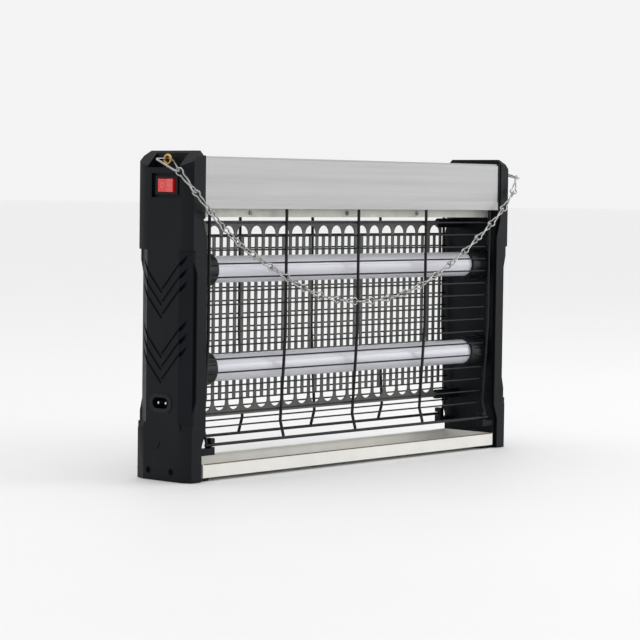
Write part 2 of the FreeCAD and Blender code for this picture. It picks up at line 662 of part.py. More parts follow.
def guard_clip(side, face):
    """A black corner block whose open notch holds the guard's foot wire."""
    name = "guard_clip"
    near, far = f"({face}) * 25", f"({face}) * 33"
    low_y, high_y = (far, near) if face == FRONT else (near, far)
    x_plate, x_arm, x_tip = (depth_x(side, spot) for spot in ("Dim.plate_outer", 32.5, 38.5))
    arm_x = (x_plate, x_tip) if side == LEFT else (x_tip, x_plate)
    post_x = (x_arm, x_tip) if side == LEFT else (x_tip, x_arm)
    arm = block(f"{name}_arm", (arm_x[0], low_y, 24), (arm_x[1], high_y, 30.5))
    post = block(f"{name}_post", (post_x[0], low_y, 30), (post_x[1], high_y, 40))
    notch_y = ("-34", "-28.6") if face == FRONT else ("28.6", "34")
    notch = block(f"{name}_notch", (f"{post_x[0]} - 1", notch_y[0], "Dim.guard_foot - 1.8"),
                  (f"{post_x[1]} + 1", notch_y[1], "Dim.guard_foot + 1.8"))
    return cut(f"{name}_solid", fuse(f"{name}_blank", [arm, post]), [notch])


def build_guards():
    guard(FRONT, "front_guard", "Dim.guard_top")
    guard(REAR, "rear_guard", "Dim.guard_pivot_z")
    for face, label in ((FRONT, "front_guard_clips"), (REAR, "rear_guard_clips")):
        keep(label, group(label, [guard_clip(side, face) for side in (LEFT, RIGHT)]))


# ---------------------------------------------------------------- electrode combs

def comb(label, low, high, half_width, first_slot, count, slot_low, slot_high, arch_z):
    """A flat sheet with a row of round-ended slots that leave legs between them."""
    body = new_body(label)
    plane_y = "-Dim.comb_y - Dim.comb_sheet / 2"
    blank = sketch_on(body, "XZ_Plane", plane_y)
    add_polygon(blank, rectangle((f"-({half_width})", low), (half_width, high)))
    pad(body, blank, "Dim.comb_sheet")
    slot = sketch_on(body, "XZ_Plane", "-Dim.comb_y")
    add_polygon(slot, rectangle((f"{first_slot} - Dim.arch_r", slot_low),
                                (f"{first_slot} + Dim.arch_r", slot_high)))
    straight = pocket(body, slot, "Dim.comb_sheet + 1", midplane=True)
    arch = sketch_on(body, "XZ_Plane", "-Dim.comb_y")
    add_circle(arch, first_slot, arch_z, "Dim.arch_r")
    rounded = pocket(body, arch, "Dim.comb_sheet + 1", midplane=True)
    row = body.newObject("PartDesign::LinearPattern", f"{label}_row")
    row.Originals = [straight, rounded]
    row.Direction = (slot, ["H_Axis"])
    row.setExpression("Length", f"{count - 1} * Dim.leg_pitch")
    row.Occurrences = count
    body.Tip = row
    doc.recompute()
    return body


def build_combs():
    edge = "Dim.comb_half + Dim.leg_width / 2"
    upper = comb("upper_electrode_comb", "Dim.upper_leg_end", "Dim.upper_rail_top", edge,
                 "(-Dim.comb_half + Dim.leg_pitch / 2)", 19,
                 "Dim.upper_leg_end - 1", "Dim.upper_rail_low - Dim.arch_r",
                 "(Dim.upper_rail_low - Dim.arch_r)")
    keep("upper_electrode_comb", upper)
    inner_edge = "Dim.comb_half - Dim.leg_pitch / 2 + Dim.leg_width / 2"
    lower = comb("lower_electrode_comb", "Dim.lower_rail_low", "Dim.lower_leg_end", inner_edge,
                 "(-Dim.comb_half + Dim.leg_pitch)", 18,
                 "Dim.lower_rail_top + Dim.arch_r", "Dim.lower_leg_end + 1",
                 "(Dim.lower_rail_top + Dim.arch_r)")
    rail = sketch_on(lower, "XZ_Plane", "-Dim.comb_y - Dim.comb_sheet / 2")
    add_polygon(rail, rectangle((f"-({edge})", "Dim.lower_rail_low"),
                                (edge, "Dim.lower_rail_top")))
    pad(lower, rail, "Dim.comb_sheet")
    keep("lower_electrode_comb", lower)
    for row, spot in COMB_SPOTS.items():
        label = f"{row}_comb_insulators"
        keep(label, group(label, [insulator(side, row, spot) for side in (LEFT, RIGHT)]))


def insulator(side, row, spot):
    """A round post between plate and comb, slotted to hold the end of the comb's rail."""
    name = f"{row}_insulator"
    tip = f"({side}) * (Dim.comb_half + Dim.leg_width / 2 - Dim.comb_hold)"
    back = depth_x(side, "Dim.plate_waist + 0.3")
    stub_end = depth_x(side, "Dim.face_depth + 0.5")
    start = back if side == LEFT else tip
    stub_start = stub_end if side == LEFT else back
    length = "Dim.overall_length / 2 - Dim.plate_waist - 0.3"
    post = rod(f"{name}_post", "x", (start, "Dim.comb_y", spot), "Dim.insulator_r",
               f"{length} - (Dim.comb_half + Dim.leg_width / 2 - Dim.comb_hold)")
    stub = rod(f"{name}_stub", "x", (stub_start, "Dim.comb_y", spot), "Dim.insulator_r / 2",
               "Dim.plate_waist + 0.3 - Dim.face_depth - 0.5")
    slot_x = f"({side}) * (Dim.comb_half + Dim.leg_width / 2 + 0.3)"
    ends = (tip, slot_x) if side == RIGHT else (slot_x, tip)
    slot = block(f"{name}_slot",
                 (f"{ends[0]} - {1 if side == RIGHT else 0}",
                  "Dim.comb_y - Dim.comb_sheet / 2 - 0.1", f"{spot} - Dim.insulator_r - 1"),
                 (f"{ends[1]} + {0 if side == RIGHT else 1}",
                  "Dim.comb_y + Dim.comb_sheet / 2 + 0.1", f"{spot} + Dim.insulator_r + 1"))
    return cut(f"{name}_solid", fuse(f"{name}_blank", [post, stub]), [slot])


# ---------------------------------------------------------------- tubes and lamp holders

def build_tube(row, tube_z):
    """A frosted glass tube, its two metal end caps and its four contact pins."""
    outer = rod(f"{row}_glass_outer", "x", ("-Dim.glass_half", "Dim.tube_y", tube_z),
                "Dim.glass_r", "2 * Dim.glass_half")
    inner = rod(f"{row}_glass_inner", "x", ("-Dim.glass_half - 1", "Dim.tube_y", tube_z),
                "Dim.glass_r - Dim.glass_wall", "2 * Dim.glass_half + 2")
    keep(f"{row}_tube_glass", cut(f"{row}_tube_glass", outer, [inner]))
    caps, pins = [], []
    for side in (LEFT, RIGHT):
        near, far = "Dim.glass_half + 0.1", "Dim.tube_cap_half"
        start = near if side == RIGHT else f"-({far})"
        caps.append(rod(f"{row}_tube_cap", "x", (start, "Dim.tube_y", tube_z),
                        "Dim.tube_cap_r", f"{far} - ({near})"))
        pin_start = "Dim.tube_cap_half" if side == RIGHT else "-Dim.tube_pin_half"
        for way in (-1, 1):
            pins.append(rod(f"{row}_tube_pin", "x",
                            (pin_start, "Dim.tube_y", f"{tube_z} + {way} * Dim.tube_pin_gap / 2"),
                            "Dim.tube_pin_r", "Dim.tube_pin_half - Dim.tube_cap_half"))
    keep(f"{row}_tube_caps", group(f"{row}_tube_caps", caps))
    keep(f"{row}_tube_pins", group(f"{row}_tube_pins", pins))


def span_x(side, near, far):
    """Start of a rod along X that runs between two distances from the middle of the unit."""
    return f"({near})" if side == RIGHT else f"-({far})"


HOLDER_GROOVES = 12


def build_lamp_holder(side, row, tube_z):
    """A round push-through holder: grooved barrel, flange against the plate, neck behind it."""
    label = f"{row}_{'left' if side == LEFT else 'right'}_lamp_holder"
    plate = "(Dim.overall_length / 2 - Dim.plate_waist)"

    def turned(part, near, far, radius):
        return rod(f"{label}_{part}", "x", (span_x(side, near, far), "Dim.tube_y", tube_z),
                   radius, f"({far}) - ({near})")

    barrel = turned("barrel", "Dim.holder_front", plate, "Dim.holder_r")
    flange = turned("flange", f"{plate} - 3", plate, "Dim.holder_flange_r")
    neck = turned("neck", f"{plate} - 0.5", "Dim.holder_back", "Dim.holder_neck_r")
    bore = turned("bore", "Dim.holder_front - 1", "Dim.holder_floor", "Dim.holder_bore_r")
    near, far = "Dim.holder_floor - 1", "Dim.tube_pin_half + 0.8"
    start = span_x(side, near, far)
    pin_slot = block(f"{label}_pin_slot", (start, "Dim.tube_y - 1.6", f"{tube_z} - 8.2"),
                     (f"{start} + {far} - ({near})", "Dim.tube_y + 1.6", f"{tube_z} + 8.2"))
    grooves = []
    for number in range(HOLDER_GROOVES):
        angle = math.radians((number + 0.5) * 360 / HOLDER_GROOVES)
        near, far = "(Dim.holder_front + 3)", f"({plate} - 3)"
        spot = (f"Dim.tube_y + {math.cos(angle):.4f} * Dim.holder_r",
                f"{tube_z} + {math.sin(angle):.4f} * Dim.holder_r")
        grooves.append(rod(f"{label}_groove", "x", (span_x(side, near, far), *spot),
                           "Dim.holder_groove_r", f"{far} - {near}"))
    blank = fuse(f"{label}_blank", [barrel, flange, neck])
    keep(label, cut(label, blank, [bore, pin_slot] + grooves))


# ---------------------------------------------------------------- rocker switch

def build_switch():
    """A snap-in switch: black body with a bezel, and a red rocker that tips about Z."""
    face = "(-Dim.overall_length / 2 + Dim.panel_cut)"
    back = "(-Dim.overall_length / 2 + Dim.switch_back)"
    low_z, high_z = "(Dim.switch_z - Dim.{0})", "(Dim.switch_z + Dim.{0})"
    bezel = block("bezel", (f"{face} - 1.3", "Dim.switch_y - Dim.bezel_half",
                            low_z.format("bezel_rise") + " - 0.3"),
                  (face, "Dim.switch_y + Dim.bezel_half", high_z.format("bezel_rise") + " + 0.3"))
    shell = block("switch_shell", (face, "Dim.switch_y - Dim.switch_body_y",
                                   low_z.format("switch_body_z")),
                  (back, "Dim.switch_y + Dim.switch_body_y",
                   high_z.format("switch_body_z")))
    well = block("switch_well", (f"{face} - 2", "Dim.switch_y - Dim.switch_open_y",
                                 low_z.format("switch_open_z")),
                 (f"{face} + 8.5", "Dim.switch_y + Dim.switch_open_y",
                  high_z.format("switch_open_z")))
    axis_x = "-Dim.overall_length / 2 + Dim.rocker_axis"
    bearing = rod("switch_bearing", "z", (axis_x, "Dim.switch_y", "Dim.switch_z - 7.3"),
                  "Dim.trunnion_hole_r", "14.6")
    keep("switch_body", cut("switch_body", fuse("switch_blank", [bezel, shell]),
                            [well, bearing]))

    rocker = new_body("switch_rocker")
    section = sketch_on(rocker, "XY_Plane")
    ends = "Dim.rocker_half"
    add_polygon(section, [
        ("-4.9", "0"), ("-6.3", ends), ("-1.5", f"{ends} - 0.6"), ("3.2", "6"),
        ("3.2", "-6"), ("-1.5", f"0.6 - {ends}"), ("-6.3", f"-{ends}")])
    pad(rocker, section, "2 * Dim.rocker_z", midplane=True)
    trunnions = sketch_on(rocker, "XY_Plane")
    add_circle(trunnions, "0", "0", "Dim.trunnion_r")
    pad(rocker, trunnions, "14.4", midplane=True)
    rocker.Placement.Rotation = FreeCAD.Rotation(V(0, 0, 1), -value("Dim.rocker_tilt"))
    rocker.setExpression("Placement.Base.x", axis_x)
    rocker.setExpression("Placement.Base.y", "Dim.switch_y")
    rocker.setExpression("Placement.Base.z", "Dim.switch_z")
    keep("switch_rocker", rocker)

    tabs = []
    for way in (-1, 1):
        tabs.append(block("switch_tab", (back, f"Dim.switch_y + {way} * 6 - 0.4", "Dim.switch_z - 2.4"),
                          (f"{back} + 7", f"Dim.switch_y + {way} * 6 + 0.4", "Dim.switch_z + 2.4")))
    keep("switch_tabs", group("switch_tabs", tabs))


# ---------------------------------------------------------------- appliance inlet

def stadium(name, near, far, half_y, radius):
    """A bar along X with a flat-sided round-ended section, between two cap depths."""
    start = depth_x(LEFT, near)
    length = f"({far}) - ({near})"
    reach = f"({half_y} - {radius})"
    rounds = [rod(f"{name}_end", "x", (start, f"Dim.inlet_y + {way} * {reach}", "Dim.inlet_z"),
                  radius, length) for way in (-1, 1)]
    middle = block(f"{name}_middle", (start, f"Dim.inlet_y - {reach}", f"Dim.inlet_z - {radius}"),
                   (f"{start} + {length}", f"Dim.inlet_y + {reach}", f"Dim.inlet_z + {radius}"))
    return fuse(name, rounds + [middle])


def build_inlet():
    """A two-pin appliance inlet with a raised rim."""
    rim = stadium("inlet_rim", "-Dim.inlet_proud", "0", "Dim.inlet_half", "Dim.inlet_rise")
    inlet = ("Dim.inlet_y", "Dim.inlet_z")
    low, high = around(*inlet, 12.2, 7)[0], around(*inlet, 12.2, 7)[2]
    neck = block("inlet_neck", (depth_x(LEFT, 0), *low), (depth_x(LEFT, "Dim.inlet_back"), *high))
    bore = stadium("inlet_bore", "-Dim.inlet_proud - 1", "Dim.inlet_deep", "Dim.inlet_bore_half",
                   "Dim.inlet_bore_r")
    pins, pin_holes = [], []
    for way in (-1, 1):
        spot = f"Dim.inlet_y + {way} * Dim.inlet_pin_gap / 2"
        pins.append(rod("inlet_pin", "x", (depth_x(LEFT, 2), spot, "Dim.inlet_z"),
                        "Dim.inlet_pin_r", "Dim.inlet_back + 0.5"))
        pin_holes.append(rod("inlet_pin_hole", "x",
                             (depth_x(LEFT, "Dim.inlet_deep - 1"), spot, "Dim.inlet_z"),
                             "Dim.inlet_pin_r + 0.02", "Dim.inlet_back"))
    keep("inlet_housing", cut("inlet_housing", fuse("inlet_blank", [rim, neck]),
                              [bore] + pin_holes))
    keep("inlet_pins", group("inlet_pins", pins))


# ---------------------------------------------------------------- electrical gear

GEAR_FLOOR = "(Dim.channel_low + Dim.channel_wall)"
BALLAST_XS = (-160, -50)


def gear_block(name, low, high):
    """A block whose heights are counted from the channel's floor."""
    return block(name, (*low[:2], f"{GEAR_FLOOR} + {low[2]}"), (*high[:2], f"{GEAR_FLOOR} + {high[2]}"))


def build_transformer():
    """The high-voltage step-up transformer: laminated core, winding and clamping strap."""
    blank = gear_block("core_blank", (30, -12, 0.8), (80, 12, 42))
    windows = [gear_block("core_window", (start, -13, 8.8), (start + 12, 13, 34))
               for start in (38, 60)]
    keep("transformer_core", cut("transformer_core", blank, windows))
    coil = gear_block("coil_blank", (38.4, -18, 9.2), (71.6, 18, 33.6))
    middle = gear_block("coil_middle", (49.6, -12.4, 8), (60.4, 12.4, 35))
    keep("transformer_winding", cut("transformer_winding", coil, [middle]))
    strap = gear_block("strap_blank", (29, -8, 0), (81, 8, 43))
    inside = gear_block("strap_inside", (29.8, -9, 0.8), (80.2, 9, 42.2))
    feet = [gear_block("strap_foot", (start, -8, 0), (start + 9, 8, 0.8)) for start in (20.5, 80.5)]
    keep("transformer_strap", fuse("transformer_strap",
                                   [cut("strap_loop", strap, [inside])] + feet))


def board(name, centre_x, half_length):
    """A circuit board on four round spacers."""
    plate = gear_block(f"{name}_plate", (centre_x - half_length, -17, 4.6),
                       (centre_x + half_length, 17, 6.2))
    spacers = [rod(f"{name}_spacer", "z", (centre_x + way * (half_length - 4), across, GEAR_FLOOR),
                   "2.5", "4.6") for way in (-1, 1) for across in (-13, 13)]
    return plate, spacers


def build_boards():
    """Two lamp ballasts and the voltage-multiplier board, with their larger components."""
    spacers, coils, cans = [], [], []
    for number, centre_x in enumerate(BALLAST_XS, start=1):
        plate, legs = board(f"ballast_board_{number}", centre_x, 45)
        keep(f"ballast_board_{number}", plate)
        spacers += legs
        coils.append(gear_block("ballast_coil", (centre_x - 12, -9, 6.2), (centre_x + 10, 9, 24)))
        for shift in (-32, 24, 36):
            cans.append(rod("ballast_can", "z", (centre_x + shift, "4", f"{GEAR_FLOOR} + 6.2"),
                            "5", "20"))
    plate, legs = board("multiplier_board", 132, 32)
    keep("multiplier_board", plate)
    keep("ballast_coils", group("ballast_coils", coils))
    keep("ballast_capacitors", group("ballast_capacitors", cans))
    blocks = [gear_block("multiplier_capacitor", (start, -14, 6.2), (start + 8, 10, 22))
              for start in (106, 120, 134, 148)]
    keep("multiplier_capacitors", group("multiplier_capacitors", blocks))
    keep("board_spacers", group("board_spacers", spacers + legs))


def build_terminal_block():
    blank = gear_block("terminal_blank", (178, -16, 0), (200, 16, 14))
    holes = [rod("terminal_hole", "x", (177, across, f"{GEAR_FLOOR} + 6"), "2", "24")
             for across in (-11, -3.7, 3.7, 11)]
    keep("terminal_block", cut("terminal_block", blank, holes))


# ---------------------------------------------------------------- fasteners

def screw(name, side, head_start, head_end, shank_end, head_r, shank_r, spot):
    """A round-headed screw along X; its three marks are depths from the cap's outer face."""
    def turned(part, near, far, radius):
        start = depth_x(side, near if side == LEFT else far)
        return rod(f"{name}_{part}", "x", (start, *spot), radius, f"({far}) - ({near})")

    head = turned("head", head_start, head_end, head_r)
    shank = turned("shank", head_start, shank_end, shank_r)
    slot_start = depth_x(side, f"{head_start} - 1" if side == LEFT else f"{head_start} + 1")
    slot = block(f"{name}_slot", (slot_start, f"{spot[0]} - 2", f"{spot[1]} - 0.4"),
                 (f"{slot_start} + 2", f"{spot[0]} + 2", f"{spot[1]} + 0.4"))
    return cut(f"{name}_solid", fuse(f"{name}_blank", [head, shank]), [slot])


def build_screws():
    cap_screws, roof_screws = [], []
    for side in (LEFT, RIGHT):
        for across in CAP_SCREW_YS:
            cap_screws.append(screw("cap_screw", side, "1", "3.35", "14", "3", "1.22",
                                    (across, "Dim.cap_screw_z")))
        for face in (FRONT, REAR):
            roof_screws.append(screw("roof_screw", side, "Dim.face_depth - 2", "Dim.face_depth",
                                     "Dim.plate_outer + 10", "2.5", "1.27",
                                     (f"({face}) * Dim.port_y", "Dim.port_z")))
    channel_screws = []
    for across in CHANNEL_SCREW_XS:
        head = rod("channel_screw_head", "y", (across, "-Dim.channel_width / 2 - 0.9",
                                               "Dim.channel_screw_z"), "2.1", "0.9")
        shank = rod("channel_screw_shank", "y", (across, "-Dim.channel_width / 2 - 0.5",
                                                 "Dim.channel_screw_z"), "1.22", "3.2")
        channel_screws.append(fuse("channel_screw", [head, shank]))
    keep("channel_screws", group("channel_screws", channel_screws))
    keep("cap_screws", group("cap_screws", cap_screws))
    keep("roof_screws", group("roof_screws", roof_screws))


# ---------------------------------------------------------------- hanging eyes and chain

def build_eyes():
    """A brass ring on a short stem, standing in the notch of each end cap."""
    for side, label in ((LEFT, "left_hanging_eye"), (RIGHT, "right_hanging_eye")):
        ring = doc.addObject("Part::Torus", f"{label}_ring")
        ring.Placement.Rotation = TURNS["x"]
        ring.setExpression("Radius1", "Dim.eye_mid_r")
        ring.setExpression("Radius2", "Dim.eye_wire_r")
        ring.setExpression("Placement.Base.x", f"({side}) * Dim.eye_x")
        ring.setExpression("Placement.Base.z", "Dim.eye_z")
        stem_low = "(Dim.slot_floor - 4.4)"
        stem = rod(f"{label}_stem", "z", (f"({side}) * Dim.eye_x", "0", stem_low),
                   "Dim.eye_wire_r", f"Dim.eye_z - Dim.eye_mid_r - {stem_low}")
        keep(label, fuse(label, [ring, stem]))


# The chain's route from the left hook's tip to the right hook's tip.
CHAIN_ROUTE = [
    (-254.5, -28.5, 291.5), (-253.5, -38.5, 281.5), (-244.5, -43.5, 269.5),
    (-231.0, -43.0, 257.5), (-213.5, -42.0, 242.5), (-190.5, -41.5, 225.5),
    (-164.0, -41.5, 211.0), (-140.5, -41.5, 200.5), (-118.0, -41.5, 190.0),
    (-95.0, -41.5, 179.5), (-66.0, -41.5, 169.8), (-36.0, -41.5, 165.8),
    (-6.0, -41.5, 163.8), (24.0, -41.5, 165.0), (52.0, -41.5, 168.5), (78.0, -41.5, 175.5),
    (103.0, -41.5, 184.5), (130.0, -41.5, 196.5), (158.0, -41.5, 211.5),
    (183.0, -41.5, 227.5), (204.0, -42.0, 241.0), (222.0, -43.0, 255.5),
    (237.0, -43.5, 271.5), (250.0, -42.0, 283.0), (258.0, -33.5, 291.5),
]
HOOK_STRAIGHT = 4
# turn of the links next to each hook, in degrees, fading out over a few links
END_TWIST = {LEFT: -25, RIGHT: -52}
TWIST_LINKS = 8


def bend_centre(before, corner, after, bend):
    """The centre of a rounded corner's arc."""
    inward = (before - corner).normalize()
    outward = (after - corner).normalize()
    half_angle = inward.getAngle(outward) / 2
    return corner + (inward + outward).normalize() * (bend / math.sin(half_angle))


def hook_shape(side, spot, pull):
    """A closed triangular wire loop from the swing axis to the first link, along its pull."""
    bend = value("Dim.hook_bend")
    pivot = V(0, 0, value("Dim.swing_z"))
    axis = V(1, 0, 0)
    away = V(0, spot.y, spot.z - pivot.z).normalize()
    flat_pull = (axis * pull.dot(axis) + away * pull.dot(away)).normalize()
    centre = spot - flat_pull * bend
    inner = V(side * (value("Dim.eye_x") - value("Dim.eye_wire_r") - 2.2), 0, 0) + pivot
    outer = V(side * value("Dim.hook_outer"), 0, 0) + pivot
    rise = V(away) * HOOK_STRAIGHT
    corner = V(spot)
    for _ in range(20):
        corner += centre - bend_centre(inner + rise, corner, outer + rise, bend)
    points = [(inner + outer) / 2, inner, inner + rise, corner, outer + rise, outer,
              (inner + outer) / 2]
    return wire_form(points, value("Dim.hook_wire_r"), bend)


def link_shape(half_length):
    """A round-ended link lying in XZ about the origin, long along X."""
    wire_r, end_r = value("Dim.link_wire_r"), value("Dim.link_end_r")
    straight = half_length - end_r
    centre = {way: V(way * straight, 0, 0) for way in (-1, 1)}
    top = V(0, 0, end_r)
    edges = [
        Part.LineSegment(centre[-1] + top, centre[1] + top).toShape(),
        Part.Arc(centre[1] + top, V(half_length, 0, 0), centre[1] - top).toShape(),
        Part.LineSegment(centre[1] - top, centre[-1] - top).toShape(),
        Part.Arc(centre[-1] - top, V(-half_length, 0, 0), centre[-1] + top).toShape(),
    ]
    ring = Part.Wire(Part.Circle(centre[-1] + top, V(1, 0, 0), wire_r).toShape())
    return Part.Wire(edges).makePipeShell([ring], True, False)


def build_chain():
    """Interlocked wire links along the route, each a quarter turn from the one before it."""
    route = Part.BSplineCurve()
    route.buildFromPoles([V(*point) for point in CHAIN_ROUTE], False, 2)
    length = route.length()
    count = round(length / value("Dim.link_target"))
    pitch = length / count
    half_length = (pitch + value("Dim.link_overlap")) / 2
    master = link_shape(half_length)
    marks = [route.value(route.parameterAtDistance(max(0.001, number * pitch)))
             for number in range(count + 1)]
    links = []
    depth_way = V(0, 1, 0)
    for number, (start, end) in enumerate(zip(marks, marks[1:])):
        along = (end - start).normalize()
        turn = 90 * (number % 2)
        turn += END_TWIST[LEFT] * max(0, 1 - number / TWIST_LINKS)
        turn += END_TWIST[RIGHT] * max(0, 1 - (count - 1 - number) / TWIST_LINKS)
        level = FreeCAD.Rotation(along, V(), depth_way, "XZY")
        link = master.copy()
        link.Placement = FreeCAD.Placement((start + end) / 2,
                                           FreeCAD.Rotation(along, turn) * level)
        links.append(link)
    keep("chain_links", set_shape("chain_links", Part.Compound(links)))
    for side, label, near, far in ((LEFT, "left_chain_hook", marks[0], marks[1]),
                                   (RIGHT, "right_chain_hook", marks[-1], marks[-2])):
        pull = (far - near).normalize()
        spot = near + pull * (value("Dim.link_overlap") / 2)
        keep(label, set_shape(label, hook_shape(side, spot, pull)))


# ---------------------------------------------------------------- the whole unit

build_end_caps()
inner_plate(LEFT, "left_inner_plate")
inner_plate(RIGHT, "right_inner_plate")
build_roof()
build_gear_channel()
build_tray()
build_guards()
build_combs()
for row_name, row_z in TUBE_SPOTS.items():
    build_tube(row_name, row_z)
    for cap_side in (LEFT, RIGHT):
        build_lamp_holder(cap_side, row_name, row_z)
build_switch()
build_inlet()
build_transformer()
build_boards()
build_terminal_block()
build_screws()
build_eyes()
build_chain()
doc.recompute()

faults = [item.Label for item in doc.Objects
          if any(word in item.State for word in ("Invalid", "Error"))]
for piece in pieces:
    if piece.Shape.isNull() or not piece.Shape.isValid() or piece.Shape.Volume <= 0:
        faults.append(piece.Label)
if faults:
    raise RuntimeError(f"failed objects: {sorted(set(faults))}")

os.makedirs("parts", exist_ok=True)
for piece in pieces:
    piece.Shape.exportStep(f"parts/{piece.Label}.step")
print(len(pieces), "sub-parts written")
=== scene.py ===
import json
import math
import bmesh
import bpy
from mathutils import Matrix, Vector


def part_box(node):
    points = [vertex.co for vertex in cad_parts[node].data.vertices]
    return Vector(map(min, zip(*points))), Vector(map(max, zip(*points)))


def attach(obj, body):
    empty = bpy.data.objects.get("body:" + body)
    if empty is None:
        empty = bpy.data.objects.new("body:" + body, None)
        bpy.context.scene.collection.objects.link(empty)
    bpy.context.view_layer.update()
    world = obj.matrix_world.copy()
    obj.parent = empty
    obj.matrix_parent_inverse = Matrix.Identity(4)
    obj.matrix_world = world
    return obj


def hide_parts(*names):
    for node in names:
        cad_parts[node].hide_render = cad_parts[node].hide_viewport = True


# Visual model of the electric bug zapper. Metres, in the same frame as the CAD parts.

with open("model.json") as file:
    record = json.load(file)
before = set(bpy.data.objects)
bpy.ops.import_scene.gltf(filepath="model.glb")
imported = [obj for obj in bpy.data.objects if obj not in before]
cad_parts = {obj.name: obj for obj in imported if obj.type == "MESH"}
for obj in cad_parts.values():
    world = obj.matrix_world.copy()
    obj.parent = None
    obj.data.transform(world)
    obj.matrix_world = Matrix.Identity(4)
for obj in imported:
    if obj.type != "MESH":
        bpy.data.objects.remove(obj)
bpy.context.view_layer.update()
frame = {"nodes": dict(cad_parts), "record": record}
NODES = frame["nodes"]
BODY_OF = {node: body for body, members in frame["record"]["behaviour"]["bodies"].items()
           for node in members}
MM = 0.001


def link_object(name, mesh):
    obj = bpy.data.objects.new(name, mesh)
    bpy.context.scene.collection.objects.link(obj)
    return obj


# ---------------------------------------------------------------- camera

def make_camera():
    yaw, pitch, roll = (math.radians(angle) for angle in (41.42, 3.06, 0.74))
    forward = Vector((math.cos(yaw) * math.cos(pitch), math.sin(yaw) * math.cos(pitch),
                      -math.sin(pitch)))
    level = Vector((math.sin(yaw), -math.cos(yaw), 0))
    upright = level.cross(forward)
    right = math.cos(roll) * level + math.sin(roll) * upright
    up = math.cos(roll) * upright - math.sin(roll) * level
    data = bpy.data.cameras.new("camera")
    data.sensor_width = 36
    data.lens = 133.67
    camera = link_object("camera", data)
    axes = Matrix((right, up, -forward)).transposed().to_4x4()
    camera.matrix_world = Matrix.Translation((-1.815, -1.582, 0.272)) @ axes
    bpy.context.scene.camera = camera


# ---------------------------------------------------------------- materials

def node(tree, kind, **values):
    item = tree.nodes.new(kind)
    for key, value in values.items():
        setattr(item, key, value)
    return item


def noise(tree, place, scale, detail=4.0, rough=0.55):
    item = node(tree, "ShaderNodeTexNoise")
    item.inputs["Scale"].default_value = scale
    item.inputs["Detail"].default_value = detail
    item.inputs["Roughness"].default_value = rough
    tree.links.new(place, item.inputs["Vector"])
    return item.outputs["Fac"]


def spread(tree, fac, low, high, start=0.3, end=0.7):
    item = node(tree, "ShaderNodeMapRange")
    item.inputs["From Min"].default_value = start
    item.inputs["From Max"].default_value = end
    item.inputs["To Min"].default_value = low
    item.inputs["To Max"].default_value = high
    tree.links.new(fac, item.inputs["Value"])
    return item.outputs["Result"]


def blend_colour(tree, fac, first, second):
    item = node(tree, "ShaderNodeValToRGB")
    item.color_ramp.elements[0].position = 0.3
    item.color_ramp.elements[1].position = 0.72
    item.color_ramp.elements[0].color = (*first, 1)
    item.color_ramp.elements[1].color = (*second, 1)
    tree.links.new(fac, item.inputs["Fac"])
    return item.outputs["Color"]


def finish(name, first, second, rough=(0.35, 0.5), metallic=0.0, stretch=(1, 1, 1), scale=60,
           grain=900, grain_depth=0.05, coat=0.0, subsurface=0.0, specular=0.5):
    """A procedural finish: drifting colour and gloss over a fine grain."""
    material = bpy.data.materials.new(name)
    material.use_nodes = True
    tree = material.node_tree
    shader = tree.nodes["Principled BSDF"]
    place = node(tree, "ShaderNodeTexCoord").outputs["Object"]
    mapping = node(tree, "ShaderNodeMapping")
    mapping.inputs["Scale"].default_value = stretch
    tree.links.new(place, mapping.inputs["Vector"])
    run = mapping.outputs["Vector"]
    drift = noise(tree, run, scale)
    tree.links.new(blend_colour(tree, drift, first, second), shader.inputs["Base Color"])
    fine = noise(tree, run, grain, detail=2.0)
    mixed = noise(tree, run, scale * 3.1, detail=6.0, rough=0.65)
    tree.links.new(spread(tree, mixed, *rough), shader.inputs["Roughness"])
    bump = node(tree, "ShaderNodeBump")
    bump.inputs["Strength"].default_value = grain_depth
    bump.inputs["Distance"].default_value = 0.0004
    tree.links.new(fine, bump.inputs["Height"])
    tree.links.new(bump.outputs["Normal"], shader.inputs["Normal"])
    shader.inputs["Metallic"].default_value = metallic
    shader.inputs["Coat Weight"].default_value = coat
    shader.inputs["Coat Roughness"].default_value = 0.2
    shader.inputs["Subsurface Weight"].default_value = subsurface
    shader.inputs["Subsurface Radius"].default_value = (0.004, 0.003, 0.004)
    shader.inputs["Specular IOR Level"].default_value = specular
    return material


